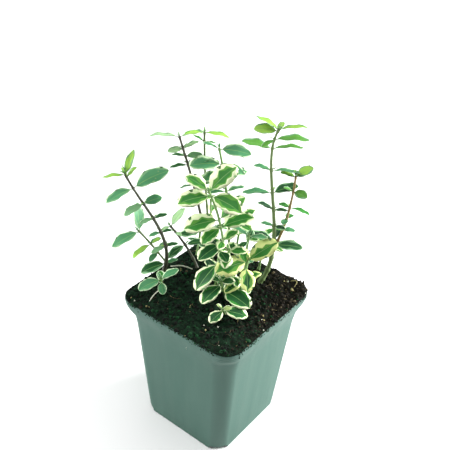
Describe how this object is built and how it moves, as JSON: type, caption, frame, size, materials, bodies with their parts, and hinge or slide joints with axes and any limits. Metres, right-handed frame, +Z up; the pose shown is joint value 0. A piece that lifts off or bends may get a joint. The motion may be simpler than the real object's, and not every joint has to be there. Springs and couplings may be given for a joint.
{
  "type": "potted wintercreeper euonymus",
  "caption": "Young variegated evergreen shrub with slim upright shoots and cream-edged leaves in opposite pairs, growing from peat in a square tapered nursery pot.",
  "frame": {"origin": "centre of the pot's flat underside", "axes": "+Z up, X and Y square to the pot's four sides"},
  "size_m": [0.1178, 0.0985, 0.2179],
  "materials": {
    "pot_plastic": "grey-green moulded plastic with a soft sheen and faint scuffs",
    "peat": "dark moist peat with fine fibres and pale specks",
    "bark": "smooth green to brown young bark with small scars at the leaf pairs",
    "foliage": "waxy green leaves with cream and yellow margins and pale veins"
  },
  "bodies": {
    "root": {"bough_left_fork": "bark", "bough_right_fork": "bark", "pot": "pot_plastic", "soil": "peat", "spray_back_corner": "foliage", "spray_back_left_tall": "foliage", "spray_back_middle": "foliage", "spray_back_right": "foliage", "spray_back_thin": "foliage", "spray_centre_back": "foliage", "spray_centre_low": "foliage", "spray_centre_right": "foliage", "spray_centre_show": "foliage", "spray_front_foot": "foliage", "spray_front_low": "foliage", "spray_left_back": "foliage", "spray_left_foot": "foliage", "spray_left_fork": "foliage", "spray_left_small": "foliage", "spray_left_tall": "foliage", "spray_middle_right": "foliage", "spray_right_fork": "foliage", "spray_right_low": "foliage", "spray_right_tall": "foliage", "stem_back_corner": "bark", "stem_back_left_tall": "bark", "stem_back_middle": "bark", "stem_back_right": "bark", "stem_back_thin": "bark", "stem_centre_back": "bark", "stem_centre_low": "bark", "stem_centre_right": "bark", "stem_centre_show": "bark", "stem_front_foot": "bark", "stem_front_low": "bark", "stem_left_back": "bark", "stem_left_foot": "bark", "stem_left_small": "bark", "stem_left_tall": "bark", "stem_middle_right": "bark", "stem_right_low": "bark", "stem_right_tall": "bark"}
  },
  "joints": []
}
